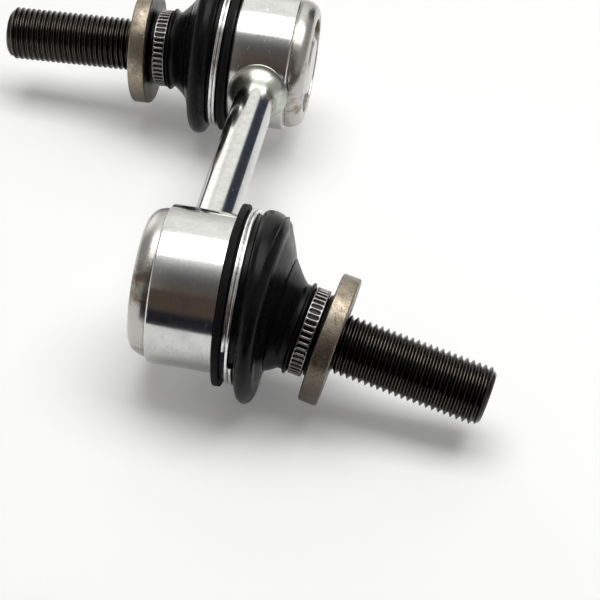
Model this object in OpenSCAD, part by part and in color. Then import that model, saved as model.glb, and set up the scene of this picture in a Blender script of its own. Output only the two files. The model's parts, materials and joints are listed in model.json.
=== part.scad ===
// Stabilizer link: a rod with a ball joint at each end, the two studs pointing to opposite sides.
// Both ends are the same assembly, turned half a turn about the vertical through the rod's middle.
// An end is drawn from its ball centre, with +X towards the stud's tip and +Y along the rod.

/* [Link] */
// Distance between the two ball centres
centre_distance = 88; // [60:1:220]
// Diameter of the rod
rod_d = 9.2; // [7:0.1:12]
// Width of the weld fillet round the rod, on the housing
weld_leg = 2.2; // [1:0.1:3]
// Length of the weld fillet along the rod
weld_len = 3.4; // [2:0.1:5]

/* [Pose] */
// How far the near stud leans at rest, in degrees
near_lean = 10.5; // [0:0.5:16]
// Where the near stud leans to, from straight down towards the side away from the rod, in degrees
near_lean_side = 33; // [0:1:180]
// How far the far stud leans at rest, in degrees
far_lean = 4; // [0:0.5:16]
// Where the far stud leans to, from straight down towards the side away from the rod, in degrees
far_lean_side = 0; // [0:1:180]

/* [Housing] */
// Outer diameter of the housing
housing_d = 31.4; // [30:0.1:36]
// From the ball centre to the shoulder that the boot's lip lies against
housing_front = 7.3; // [6.8:0.1:8]
// From the ball centre to the step at the closed end
housing_step = 6; // [5:0.1:7]
// Length of the thinner rim behind that step
rim_len = 3.9; // [3.4:0.1:5]
// How much smaller the rim is than the housing, on the radius
rim_step = 1; // [0.6:0.1:1.4]
// Radius of the rolled edge of the rim, as a share of the rim's end face
rim_roll_share = 0.667; // [0.3:0.001:0.8]
// How far the rolled rim reaches in over the end cover
rim_lip = 1.2; // [0.8:0.1:2]
// Thickness of the rolled rim over the end cover
rim_t = 1; // [0.8:0.1:1.4]
// Length of the nose that carries the boot
nose_len = 4.7; // [4.4:0.1:5.5]
// How much smaller the nose is than the housing, on the radius
nose_step = 0.8; // [0.4:0.1:1]
// Depth of the groove in the nose that takes the boot's inner rib
nose_groove = 0.6; // [0.3:0.1:0.7]
// Wall of the nose at its front face, where the mouth is widest
nose_wall = 1.8; // [1:0.1:2]
// Chamfer on the housing's turned corners
turned_chamfer = 0.4; // [0.2:0.1:0.6]

/* [Ball and seats] */
// Diameter of the ball
ball_d = 17; // [16:0.1:18]
// Outer diameter of the seats
seat_d = 24; // [22.5:0.1:25]
// From the ball centre to the front face of the front seat
seat_front = 6.5; // [6:0.1:6.7]
// Angle from the housing's axis to the front edge of the front seat, in degrees
seat_edge_angle = 60; // [59:1:64]
// Thickness of the end cover
cover_t = 1.5; // [1.2:0.1:2]
// Radius of the dish in the end cover
dish_r = 7.2; // [6.5:0.1:8]
// Running clearance between the ball and its seats, and behind the ball
ball_clearance = 0.05; // [0.02:0.01:0.1]

/* [Stud] */
// Diameter of the neck next to the ball
neck_d = 9.2; // [8:0.1:9.6]
// From the ball centre to the end of the slim neck
neck_end = 14; // [13:0.1:15]
// Length of the flare from the neck to the shank
flare_len = 4.4; // [3:0.1:5]
// Diameter of the shank that the boot's neck grips
shank_d = 14.6; // [13:0.1:15]
// Gap between the knurled ring and the flange
flange_gap = 1; // [0.3:0.05:2]
// Thickness of the flange
flange_t = 3.8; // [2:0.1:6]
// Diameter of the flange
flange_d = 26.2; // [20:0.1:30]
// Chamfer on the flange's edges
flange_chamfer = 0.5; // [0.2:0.1:0.8]
// Nominal diameter of the thread
thread_d = 12; // [10:1:14]
// Length of the threaded shank beyond the flange
thread_len = 30.6; // [20:0.1:45]
// Chamfer at the stud's tip
tip_chamfer = 1.1; // [0.5:0.1:2]

/* [Dust boot] */
// Rubber under the clip
groove_wall = 1.3; // [1:0.1:2]
// Height of the bead lip above the clip's groove
lip_h = 1.6; // [1:0.1:2]
// Width of the bead lip against the housing
lip_w = 1.3; // [1:0.1:2]
// Rounding of the lips' corners
lip_round = 0.3; // [0.1:0.05:0.4]
// Length of the roll next to the clip's groove, along the axis
roll_len = 4.4; // [3.8:0.1:5]
// How far the roll swells out above the clip's groove
roll_h = 2.9; // [2:0.1:3.4]
// How far the roll is pushed out for each degree that the stud leans
roll_push = 0.12; // [0:0.005:0.15]
// Radius of the flank's fold line, between the roll and the neck
fold_r = 11.7; // [11:0.1:14]
// Where the fold line lies, as a share of the way from the roll to the neck
fold_share = 0.37; // [0.3:0.01:0.6]
// How far the flank hollows in between the fold line and the neck
flank_hollow = 0.17; // [0:0.01:0.4]
// Wall thickness of the roll and the flank
boot_wall = 1.2; // [0.9:0.1:1.4]
// Wall thickness of the neck
neck_wall = 1.2; // [0.9:0.1:1.6]
// How far up the full shank the neck starts
neck_inset = 2.7; // [2:0.1:3]
// Length of the neck up to its lip
boot_neck_len = 0.8; // [0.5:0.1:2]
// Width of the neck's lip
neck_lip_w = 1.1; // [0.8:0.1:1.6]
// Height of the neck's lip above the neck
neck_lip_h = 0.7; // [0.4:0.1:1]
// Clearance of the rubber from the housing, the clip, the stud and the ring
rubber_clearance = 0.15; // [0.1:0.01:0.2]

/* [Clip and ring] */
// Diameter of the clip's wire
wire_d = 0.85; // [0.6:0.05:0.95]
// Number of turns in the clip
clip_turns = 1.958; // [1.5:0.001:1.98]
// Gap between neighbouring turns of the wire
turn_gap = 0.03; // [0.02:0.01:0.1]
// Wall of the knurled ring
ring_wall = 1.45; // [1.1:0.05:2]
// Width of the knurled ring
ring_w = 2.7; // [2:0.1:3.5]
// Chamfer on the knurled ring's corners
ring_chamfer = 0.2; // [0.1:0.05:0.3]
// Number of slots in the knurl
slot_count = 45; // [24:1:48]
// Depth of a knurl slot
slot_depth = 0.35; // [0.2:0.05:0.5]
// Radius of a knurl slot
slot_r = 0.38; // [0.3:0.01:0.42]
// Plain edge on each side of the slots
slot_edge = 0.4; // [0.3:0.05:0.6]
// Running clearance between the ring and the shank
ring_clearance = 0.05; // [0.02:0.01:0.1]

/* [Hidden] */
$fn = 96;

zinc_colour = "#c9cac6";
cover_colour = "#b9bab6";
seat_colour = "#e6dfc8";
stud_colour = "#4a443c";
rubber_colour = "#232325";
wire_colour = "#dcdcd8";
ring_colour = "#a7a6a2";
weld_colour = "#a9aaa2";

// Radii
ball_r = ball_d / 2;
housing_r = housing_d / 2;
rim_r = housing_r - rim_step;
nose_r = housing_r - nose_step;
mouth_r = nose_r - nose_wall;
seat_r = seat_d / 2;
rim_lip_r = seat_r - rim_lip;
rim_round = rim_roll_share * (rim_r - rim_lip_r);
cup_r = ball_r + ball_clearance;
neck_r = neck_d / 2;
shank_r = shank_d / 2;
flange_r = flange_d / 2;
thread_r = thread_d / 2;
tip_r = thread_r - tip_chamfer;
rod_r = rod_d / 2;
wire_r = wire_d / 2;
boot_bore = nose_r + rubber_clearance;
rib_bore = boot_bore - nose_groove;
groove_r = boot_bore + groove_wall;
lip_r = groove_r + lip_h;
boot_neck_bore = shank_r + rubber_clearance;
boot_neck_r = boot_neck_bore + neck_wall;
neck_lip_r = boot_neck_r + neck_lip_h;
ring_bore = shank_r + ring_clearance;
ring_r = ring_bore + ring_wall;
clip_r = groove_r + rubber_clearance + wire_r;

function mix(a, b, t) = a + (b - a) * t;
function share(x) = max(0, min(1, x));
function ease(x) = x * x * (3 - 2 * x);

// Places along the housing's axis, from the ball centre
housing_back = housing_step + rim_len;
nose_end = housing_front + nose_len;
cover_back = housing_back - rim_t;
cover_front = cover_back - cover_t;
dish_front = max(cover_front, ball_r + 2 * ball_clearance);
dish_slope = dish_front - cover_front;
lip_start = housing_front + rubber_clearance;
lip_end = lip_start + lip_w;
clip_pitch = wire_d + turn_gap;
clip_start = lip_end + rubber_clearance + wire_r;
clip_end = clip_start + clip_turns * clip_pitch + wire_r;
roll_start = clip_end + rubber_clearance;
roll_end = roll_start + roll_len;

// Places along the stud's axis, from the ball centre
shank_start = neck_end + flare_len;
neck_start = shank_start + neck_inset;
fold_at = mix(roll_end, neck_start, fold_share);
neck_lip_at = neck_start + boot_neck_len;
neck_lip_end = neck_lip_at + neck_lip_w;
ring_start = neck_lip_end + rubber_clearance;
ring_end = ring_start + ring_w;
flange_start = ring_end + flange_gap;
flange_end = flange_start + flange_t;
stud_end = flange_end + thread_len;

// The mouth is a cone from the front seat's edge on the ball to the front face of the nose
seat_edge_u = cup_r * cos(seat_edge_angle);
seat_edge_r = cup_r * sin(seat_edge_angle);
mouth_slope = (mouth_r - seat_edge_r) / (nose_end - seat_edge_u);
function mouth_at(u) = seat_edge_r + mouth_slope * (u - seat_edge_u);

// Steps of the boot's lofted skin, of the clip's wire and of turned arcs
boot_sides = 40;
roll_steps = 10;
roll_inner_steps = 5;
shoulder_steps = 3;
hollow_steps = 5;
wire_sides = 8;
wire_steps = 96;
arc_step = 15;

// The wire starts on the side away from the rod, and rises over the top
clip_start_angle = -90;

// Skin of the boot, as [place along the axis, radius]: the roll is half an ellipse on the clip's groove,
// and the flank falls from it to a fold line and then hollows in to the neck
function arch(t) = 4 * t * (1 - t);
function roll_arc(half_len, height, t) = [
  roll_start + roll_len / 2 - half_len * cos(180 * t),
  groove_r + height * sin(180 * t)
];
function roll_point(t) = roll_arc(roll_len / 2, roll_h, t);
function roll_inner_point(t) = roll_arc(roll_len / 2 - boot_wall, roll_h - boot_wall, t);
function shoulder_point(t) = [mix(roll_end, fold_at, t), mix(groove_r, fold_r, t)];
function hollow_point(t) = [
  mix(fold_at, neck_start, t),
  mix(fold_r, boot_neck_r, t) - flank_hollow * arch(t)
];
skin = concat(
  [for (i = [0 : roll_steps]) roll_point(i / roll_steps)],
  [for (i = [1 : shoulder_steps]) shoulder_point(i / shoulder_steps)],
  [for (i = [1 : hollow_steps]) hollow_point(i / hollow_steps)]
);
skin_last = len(skin) - 1;

// Inside the flank: the outer skin moved in by the wall's thickness, square to the skin
function skin_along(i) = skin[min(i + 1, skin_last)] - skin[max(i - 1, 0)];
function skin_inward(i) = [skin_along(i)[1], -skin_along(i)[0]] / norm(skin_along(i));
function inner_point(i) = skin[i] + boot_wall * skin_inward(i);

// The boot's inner rib lies in the groove of the nose, half a groove in from the clip on each side
rib_start = lip_end + nose_groove / 2;
rib_end = roll_start - nose_groove / 2;

// Closed outline of the boot's wall
lip_outline = [
  [lip_start, boot_bore],
  [lip_start, lip_r - lip_round],
  [lip_start + lip_round, lip_r],
  [lip_end - lip_round, lip_r],
  [lip_end, lip_r - lip_round],
  [lip_end, groove_r]
];
neck_outline = [
  [neck_lip_at, boot_neck_r],
  [neck_lip_at + lip_round, neck_lip_r],
  [neck_lip_end - lip_round, neck_lip_r],
  [neck_lip_end, neck_lip_r - lip_round],
  [neck_lip_end, boot_neck_bore],
  [neck_start, boot_neck_bore]
];
rib_outline = [
  [rib_end, boot_bore],
  [rib_end - nose_groove, rib_bore],
  [rib_start + nose_groove, rib_bore],
  [rib_start, boot_bore]
];
boot_outline = concat(
  lip_outline,
  skin,
  neck_outline,
  [for (i = [skin_last - 1 : -1 : roll_steps + 1]) inner_point(i)],
  [for (i = [roll_inner_steps : -1 : 0]) roll_inner_point(i / roll_inner_steps)],
  [[roll_start, boot_bore]],
  rib_outline
);

// The neck follows the stud's lean in full, the groove not at all, and the flank lies between.
// The roll is pushed out on the side that the stud leans to.
follow_start = roll_start;
follow_end = neck_start - neck_inset / 4;
function follow(u) = ease(share((u - follow_start) / (follow_end - follow_start)));
function push_at(u) = sqrt(arch(share((u - roll_start) / roll_len)));
function leaned(p, a) = [p[0] * cos(a) + p[2] * sin(a), p[1], p[2] * cos(a) - p[0] * sin(a)];
function sided(p, a) = [p[0], p[1] * cos(a) + p[2] * sin(a), p[2] * cos(a) - p[1] * sin(a)];
function pushed(p, turn, push) = [p[0], p[1] * sin(turn), p[1] * cos(turn) - push * push_at(p[0])];
function boot_point(p, turn, lean) = leaned(pushed(p, turn, roll_push * lean), lean * follow(p[0]));
function boot_points(lean, side) = [
  for (p = boot_outline) for (j = [0 : boot_sides - 1]) sided(boot_point(p, 360 * j / boot_sides, lean), side)
];

// Frame: the origin lies under the middle of the link, on the surface that it rests on
function disc_low(at, radius, lean, side) =
  let (drop = sin(lean) * cos(side)) -at * drop - radius * sqrt(1 - drop * drop);
function boot_low(lean, side) = min([for (p = boot_points(lean, side)) p[2]]);
function end_low(lean, side) = min(
  boot_low(lean, side),
  disc_low(flange_end - flange_chamfer, flange_r, lean, side),
  disc_low(stud_end - tip_chamfer, thread_r, lean, side)
);
function boot_reach(lean, side) = -min([for (p = boot_points(lean, side)) p[1]]);
function tip_reach(lean) = max(
  stud_end * cos(lean) + tip_r * sin(lean),
  (stud_end - tip_chamfer) * cos(lean) + thread_r * sin(lean)
);
ball_height = -min(end_low(near_lean, near_lean_side), end_low(far_lean, far_lean_side));
middle_x = (tip_reach(near_lean) - tip_reach(far_lean)) / 2;
middle_y = (boot_reach(far_lean, far_lean_side) - boot_reach(near_lean, near_lean_side)) / 2;
near_ball = [-middle_x, -centre_distance / 2 - middle_y, ball_height];
far_ball = [-middle_x, centre_distance / 2 - middle_y, ball_height];

module at_near() {
  translate(near_ball) children();
}

module at_far() {
  translate(far_ball) rotate([0, 0, 180]) children();
}

// Lays what follows along the stud, which leans about the ball centre
module leaning(lean, side) {
  rotate([-side, 0, 0]) rotate([0, lean, 0]) children();
}

// Turns an outline of [radius, place] points about the X axis
module turned(outline) {
  rotate([0, 90, 0]) rotate_extrude() polygon(outline);
}

// Ball with its poles on the X axis, where the neck and the seats are cut
module ball(radius) {
  rotate([0, 90, 0]) sphere(r = radius);
}

// Skins a ring of cross sections that all have as many points as sides
module loft(points, sides, closed) {
  rings = len(points) / sides;
  last = closed ? rings - 1 : rings - 2;
  walls = [
    for (i = [0 : last]) for (j = [0 : sides - 1])
      let (a = i * sides, b = (i + 1) % rings * sides, k = (j + 1) % sides) [a + j, b + j, b + k, a + k]
  ];
  caps = closed ? [] : [
    [for (j = [0 : sides - 1]) j],
    [for (j = [sides - 1 : -1 : 0]) (rings - 1) * sides + j]
  ];
  polyhedron(points, concat(walls, caps), convexity = 6);
}

// The space that a housing's outer cylinder takes, longer than anything that meets it is thick
module housing_cylinder() {
  rotate([0, 90, 0]) cylinder(r = housing_r, h = 2 * housing_d, center = true);
}

// Both ends are coped to the housings that they meet
module link_rod() {
  color(zinc_colour) difference() {
    translate(near_ball) rotate([-90, 0, 0]) cylinder(r = rod_r, h = centre_distance);
    at_near() housing_cylinder();
    at_far() housing_cylinder();
  }
}

// Hollow fillet that runs out from the housing onto the rod
module weld() {
  root = housing_r / 2;
  color(weld_colour) difference() {
    rotate([-90, 0, 0]) rotate_extrude() polygon([
      [rod_r, root],
      [rod_r + weld_leg, root],
      for (a = [0 : arc_step : 90]) [rod_r + weld_leg * (1 - sin(a)), housing_r + weld_len * (1 - cos(a))]
    ]);
    housing_cylinder();
  }
}

// Turned cup: rolled rim at the back, stepped body, nose with the boot's groove, and a conical mouth
module housing() {
  roll_r = rim_r - rim_round;
  color(zinc_colour) turned([
    [rim_lip_r, -housing_back],
    for (a = [0 : arc_step : 90]) [roll_r + rim_round * sin(a), rim_round * (1 - cos(a)) - housing_back],
    [rim_r, -housing_step],
    [housing_r - turned_chamfer, -housing_step],
    [housing_r, turned_chamfer - housing_step],
    [housing_r, housing_front - turned_chamfer],
    [housing_r - turned_chamfer, housing_front],
    [nose_r, housing_front],
    [nose_r, rib_start],
    [nose_r - nose_groove, rib_start + nose_groove],
    [nose_r - nose_groove, rib_end - nose_groove],
    [nose_r, rib_end],
    [nose_r, nose_end],
    [mouth_r, nose_end],
    [mouth_at(seat_front), seat_front],
    [seat_r, seat_front],
    [seat_r, -cover_back],
    [rim_lip_r, -cover_back]
  ]);
}

// Stamped plate that closes the housing, dished to clear the ball
module end_cover() {
  color(cover_colour) turned([
    [0, -dish_front],
    [dish_r - dish_slope, -dish_front],
    [dish_r, -cover_front],
    [seat_r, -cover_front],
    [seat_r, -cover_back],
    [dish_r, -cover_back],
    [dish_r - dish_slope, -dish_front - cover_t],
    [0, -dish_front - cover_t]
  ]);
}

module front_seat() {
  color(seat_colour) difference() {
    turned([
      [0, 0],
      [seat_r, 0],
      [seat_r, seat_front],
      [mouth_at(seat_front), seat_front],
      [mouth_at(seat_edge_u / 2), seat_edge_u / 2],
      [0, seat_edge_u / 2]
    ]);
    ball(cup_r);
  }
}

module rear_seat() {
  color(seat_colour) difference() {
    turned([[0, 0], [seat_r, 0], [seat_r, -cover_front], [0, -cover_front]]);
    ball(cup_r);
  }
}

// One forging: ball, slim neck, flare, shank, round flange and threaded end
module ball_stud() {
  color(stud_colour) union() {
    ball(ball_r);
    turned([
      [0, 0],
      [neck_r, 0],
      [neck_r, neck_end],
      [shank_r, shank_start],
      [shank_r, flange_start],
      [flange_r - flange_chamfer, flange_start],
      [flange_r, flange_start + flange_chamfer],
      [flange_r, flange_end - flange_chamfer],
      [flange_r - flange_chamfer, flange_end],
      [thread_r, flange_end],
      [thread_r, stud_end - tip_chamfer],
      [tip_r, stud_end],
      [0, stud_end]
    ]);
  }
}

// Rubber skin from the housing's nose to the stud's shank, bent to the stud's lean
module dust_boot(lean, side) {
  color(rubber_colour) loft(boot_points(lean, side), boot_sides, true);
}

// Round wire wound in just under two turns
module boot_clip() {
  points = [
    for (i = [0 : wire_steps]) for (j = [0 : wire_sides - 1])
      let (
        turned_by = clip_turns * i / wire_steps,
        angle = clip_start_angle + 360 * turned_by,
        around = 360 * j / wire_sides,
        r = clip_r + wire_r * cos(around)
      )
      [clip_start + clip_pitch * turned_by + wire_r * sin(around), r * sin(angle), r * cos(angle)]
  ];
  color(wire_colour) loft(points, wire_sides, false);
}

// Plain ring with a band of straight slots pressed into it
module neck_ring() {
  color(ring_colour) difference() {
    turned([
      [ring_bore, ring_start],
      [ring_r - ring_chamfer, ring_start],
      [ring_r, ring_start + ring_chamfer],
      [ring_r, ring_end - ring_chamfer],
      [ring_r - ring_chamfer, ring_end],
      [ring_bore, ring_end]
    ]);
    for (i = [0 : slot_count - 1])
      rotate([360 * i / slot_count, 0, 0])
        translate([ring_start + slot_edge, 0, ring_r - slot_depth + slot_r])
          rotate([0, 90, 0]) cylinder(r = slot_r, h = ring_w - 2 * slot_edge, $fn = 24);
  }
}

module near_weld() {
  at_near() weld();
}

module far_weld() {
  at_far() weld();
}

module near_housing() {
  at_near() housing();
}

module near_end_cover() {
  at_near() end_cover();
}

module near_front_seat() {
  at_near() front_seat();
}

module near_rear_seat() {
  at_near() rear_seat();
}

module near_ball_stud() {
  at_near() leaning(near_lean, near_lean_side) ball_stud();
}

module near_dust_boot() {
  at_near() dust_boot(near_lean, near_lean_side);
}

module near_boot_clip() {
  at_near() boot_clip();
}

module near_neck_ring() {
  at_near() leaning(near_lean, near_lean_side) neck_ring();
}

module far_housing() {
  at_far() housing();
}

module far_end_cover() {
  at_far() end_cover();
}

module far_front_seat() {
  at_far() front_seat();
}

module far_rear_seat() {
  at_far() rear_seat();
}

module far_ball_stud() {
  at_far() leaning(far_lean, far_lean_side) ball_stud();
}

module far_dust_boot() {
  at_far() dust_boot(far_lean, far_lean_side);
}

module far_boot_clip() {
  at_far() boot_clip();
}

module far_neck_ring() {
  at_far() leaning(far_lean, far_lean_side) neck_ring();
}

link_rod();
near_weld();
far_weld();
near_housing();
near_end_cover();
near_front_seat();
near_rear_seat();
near_ball_stud();
near_dust_boot();
near_boot_clip();
near_neck_ring();
far_housing();
far_end_cover();
far_front_seat();
far_rear_seat();
far_ball_stud();
far_dust_boot();
far_boot_clip();
far_neck_ring();
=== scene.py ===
import json
import math

import bmesh
import bpy
from mathutils import Matrix, Vector


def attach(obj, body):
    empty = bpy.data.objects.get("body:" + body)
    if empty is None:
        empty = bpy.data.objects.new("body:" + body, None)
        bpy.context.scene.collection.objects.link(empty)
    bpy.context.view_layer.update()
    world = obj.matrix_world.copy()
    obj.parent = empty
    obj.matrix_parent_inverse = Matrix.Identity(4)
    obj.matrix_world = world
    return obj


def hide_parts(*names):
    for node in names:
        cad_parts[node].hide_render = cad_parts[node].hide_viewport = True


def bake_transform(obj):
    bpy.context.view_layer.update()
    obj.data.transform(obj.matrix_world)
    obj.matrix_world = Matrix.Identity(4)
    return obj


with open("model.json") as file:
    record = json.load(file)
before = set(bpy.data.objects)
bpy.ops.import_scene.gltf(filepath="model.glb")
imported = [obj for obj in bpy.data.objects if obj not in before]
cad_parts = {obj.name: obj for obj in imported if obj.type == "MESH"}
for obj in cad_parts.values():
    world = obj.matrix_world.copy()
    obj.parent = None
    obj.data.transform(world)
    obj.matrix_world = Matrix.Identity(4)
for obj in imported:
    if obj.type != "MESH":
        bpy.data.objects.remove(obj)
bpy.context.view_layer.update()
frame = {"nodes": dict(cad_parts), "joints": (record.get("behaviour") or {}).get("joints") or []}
mm = 0.001
quarterTurn = math.pi / 2
ends = ("near", "far")
joints = {joint["name"]: joint for joint in frame["joints"]}
print("frame loaded:", len(frame["nodes"]), "nodes")


# Places: an end is modelled round its ball centre, with X towards the stud's tip and Y along the rod

def endPlace(side):
    turn = math.pi if side == "far" else 0.0
    return Matrix.Translation(Vector(joints[side + "_swing"]["pos_m"])) @ Matrix.Rotation(turn, 4, "Z")


def leanOf(side):
    along = Vector(joints[side + "_spin"]["axis"]).normalized()
    return math.acos(min(1.0, abs(along.x)))


# The end turned about the housing's axis, so that the stud leans straight down in it
def leanPlace(side):
    hinge = endPlace(side).to_3x3().inverted() @ Vector(joints[side + "_tilt"]["axis"])
    return endPlace(side) @ Matrix.Rotation(math.atan2(hinge.z, hinge.y), 4, "X")


def studPlace(side):
    return leanPlace(side) @ Matrix.Rotation(leanOf(side), 4, "Y")


# Modelling helpers, with sizes in millimetres

def clearSelection():
    if bpy.context.mode != "OBJECT":
        bpy.ops.object.mode_set(mode="OBJECT")
    bpy.ops.object.select_all(action="DESELECT")


def pick(piece):
    clearSelection()
    piece.select_set(True)
    bpy.context.view_layer.objects.active = piece


# Leaves the picked piece's place in its mesh
def applyPlace():
    bpy.ops.object.transform_apply(location=True, rotation=True, scale=True)


def settle(piece, place):
    clearSelection()
    piece.matrix_world = place
    pick(piece)
    applyPlace()


def mix(a, b, t):
    return a + (b - a) * t


def arch(t):
    return 4 * t * (1 - t)


def ease(t):
    t = max(0.0, min(1.0, t))
    return t * t * (3 - 2 * t)


# Each wave round the axis has a count, a shift and a size
def waveSum(turn, waves):
    return sum(size * math.sin(count * turn + shift) for count, shift, size in waves)


# Leaves selected only the vertices that the test passes, in edit mode
def selectWhere(piece, test):
    bpy.ops.mesh.select_all(action="DESELECT")
    shape = bmesh.from_edit_mesh(piece.data)
    for vertex in shape.verts:
        vertex.select = test(vertex.co)
    shape.select_flush_mode()
    bmesh.update_edit_mesh(piece.data)


# A ring is drawn out along X from point to point of the outline, as on a lathe
def turnedPiece(name, outline, sides):
    clearSelection()
    place, radius = outline[0]
    bpy.ops.mesh.primitive_circle_add(
        vertices=sides, radius=radius * mm, location=(place * mm, 0, 0), rotation=(0, quarterTurn, 0)
    )
    piece = bpy.context.object
    piece.name = name
    applyPlace()
    bpy.ops.object.mode_set(mode="EDIT")
    bpy.ops.mesh.select_all(action="SELECT")
    for before, after in zip(outline, outline[1:]):
        step = ((after[0] - before[0]) * mm, 0, 0)
        bpy.ops.mesh.extrude_edges_move(TRANSFORM_OT_translate={"value": step})
        grow = after[1] / before[1]
        bpy.ops.transform.resize(value=(1, grow, grow), center_override=(after[0] * mm, 0, 0))
    return piece


def mergeDoubles(distance):
    bpy.ops.mesh.select_all(action="SELECT")
    bpy.ops.mesh.remove_doubles(threshold=distance * mm)


def faceOutwards():
    bpy.ops.mesh.select_all(action="SELECT")
    bpy.ops.mesh.normals_make_consistent(inside=False)
    bpy.ops.object.mode_set(mode="OBJECT")


# On the picked piece: merges what meets, closes the open ends and turns the faces outwards
def closeUp(merge=0.0005):
    bpy.ops.object.mode_set(mode="EDIT")
    mergeDoubles(merge)
    bpy.ops.mesh.select_all(action="DESELECT")
    bpy.ops.mesh.select_non_manifold(extend=False)
    bpy.ops.mesh.fill_holes(sides=0)
    faceOutwards()


def roundCorners(piece, width, segments, angle=20):
    pick(piece)
    bevel = piece.modifiers.new("cornerRound", "BEVEL")
    bevel.width = width * mm
    bevel.segments = segments
    bevel.limit_method = "ANGLE"
    bevel.angle_limit = math.radians(angle)
    bevel.use_clamp_overlap = True
    bpy.ops.object.modifier_apply(modifier=bevel.name)


# Shades the piece, and keeps each point's place in the model's own axes for the patterns of its finish
def keepPlace(piece, angle=32):
    pick(piece)
    bpy.ops.object.shade_smooth_by_angle(angle=math.radians(angle))
    place = piece.data.attributes.new("turnedPlace", "FLOAT_VECTOR", "POINT")
    place.data.foreach_set("vector", [c for vertex in piece.data.vertices for c in vertex.co])


def wear(piece, finish):
    piece.data.materials.clear()
    piece.data.materials.append(finish)


# A copy with its own mesh, laid in its place
def placedCopy(model, name, place):
    piece = model.copy()
    piece.data = model.data.copy()
    piece.name = name
    bpy.context.scene.collection.objects.link(piece)
    settle(piece, place)
    return piece


def ride(piece, body, slot, *nodes):
    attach(piece, body)
    if nodes:
        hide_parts(*nodes)


def dropModel(model):
    bpy.data.objects.remove(model)


# Finishes: a noise is given as scale, detail and roughness, a ramp as from and to with the two results,
# and a bump as its depth in metres and its strength

white = (1.0, 1.0, 1.0)


# Three numbers get their alpha, and another node's output stays as it is
def opaque(tone):
    return tone if isinstance(tone, bpy.types.NodeSocket) else (*tone, 1.0)


class Finish:
    def __init__(self, name, metallic, roughness, tone):
        self.material = bpy.data.materials.new(name)
        self.material.use_nodes = True
        self.tree = self.material.node_tree
        self.shader = self.tree.nodes["Principled BSDF"]
        self.shader.inputs["Metallic"].default_value = metallic
        self.shader.inputs["Roughness"].default_value = roughness
        self.shader.inputs["Base Color"].default_value = opaque(tone)

    def node(self, kind, settings=None, **sockets):
        made = self.tree.nodes.new(kind)
        for key, value in (settings or {}).items():
            setattr(made, key, value)
        for key, value in sockets.items():
            self.feed(made, key, value)
        return made

    # A socket, by name or as i and its number, takes a number, a colour or another node's output
    def feed(self, made, key, value):
        index = int(key[1:]) if key[0] == "i" and key[1:].isdigit() else key.replace("_", " ")
        if isinstance(value, bpy.types.NodeSocket):
            self.tree.links.new(value, made.inputs[index])
        else:
            made.inputs[index].default_value = value

    def give(self, socket, value):
        self.feed(self.shader, socket, value)

    def place(self):
        return self.node("ShaderNodeAttribute", {"attribute_name": "turnedPlace"}).outputs["Vector"]

    def world(self):
        return self.node("ShaderNodeTexCoord").outputs["Object"]

    def stretched(self, vector, scale, shift=(0.0, 0.0, 0.0)):
        return self.node("ShaderNodeMapping", Vector=vector, Scale=scale, Location=shift).outputs["Vector"]

    def noise(self, vector, scale, detail=3.0, rough=0.5):
        made = self.node("ShaderNodeTexNoise", Vector=vector, Scale=scale, Detail=detail, Roughness=rough)
        return made.outputs["Fac"]

    def ramp(self, value, low, high, toLow=0.0, toHigh=1.0):
        sockets = {"Value": value, "From_Min": low, "From_Max": high, "To_Min": toLow, "To_Max": toHigh}
        return self.node("ShaderNodeMapRange", **sockets).outputs["Result"]

    # A ramp over places in millimetres
    def rampAt(self, value, low, high, toLow=0.0, toHigh=1.0):
        return self.ramp(value, low * mm, high * mm, toLow, toHigh)

    def math(self, operation, a, b=0.0):
        return self.node("ShaderNodeMath", {"operation": operation}, i0=a, i1=b).outputs["Value"]

    def times(self, a, b):
        return self.math("MULTIPLY", a, b)

    def plus(self, a, b, share=None):
        return self.math("ADD", a, b if share is None else self.times(b, share))

    def blend(self, share, toneA, toneB):
        tones = {"i6": opaque(toneA), "i7": opaque(toneB)}
        return self.node("ShaderNodeMix", {"data_type": "RGBA"}, i0=share, **tones).outputs[2]

    def paint(self, share, toneA, toneB):
        self.give("Base Color", self.blend(share, toneA, toneB))

    def split(self, vector):
        return self.node("ShaderNodeSeparateXYZ", Vector=vector).outputs

    # Distance from the X axis
    def axisRadius(self, vector):
        parts = self.split(vector)
        squares = self.plus(self.math("POWER", parts["Y"], 2.0), self.math("POWER", parts["Z"], 2.0))
        return self.math("SQRT", squares)

    def bump(self, height, distance, strength):
        made = self.node("ShaderNodeBump", Height=height, Distance=distance, Strength=strength)
        self.tree.links.new(made.outputs["Normal"], self.shader.inputs["Normal"])


# Zinc plate on turned or drawn steel: fine tool lines, milky clouds, short scuffs and a stained rim
zinc = {
    "bright": (0.63, 0.63, 0.61), "dull": (0.48, 0.485, 0.465), "rim": (0.47, 0.465, 0.435),
    "stain": (0.20, 0.15, 0.11), "smooth": 0.085, "rough": 0.15,
    "lineDetail": (4.0, 0.6), "lineRough": (0.3, 0.7),
    "clouds": (240.0, 5.0, 0.62), "cloudDull": (0.40, 0.72, 0.0, 0.6), "cloudRough": (0.45, 0.7, 0.0, 0.05),
    "mottle": (1100.0, 3.0, 0.6), "mottleDull": (0.45, 0.75, 0.0, 0.4),
    "scuffs": (1900.0, 2.0, 0.5), "scuffFrom": (0.675, 0.75),
    "scuffDull": 0.5, "scuffRough": 0.24, "scuffDepth": 0.8,
    "rimAt": (-6.05, -6.2), "rimRough": 0.13,
    "stains": (130.0, 4.0, 0.65), "stainFrom": (0.515, 0.62),
    "stainStretch": (0.5, 1.0, 1.0), "stainShift": (0.015, 0.002, -0.003), "bump": (0.00001, 0.3),
}


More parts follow.
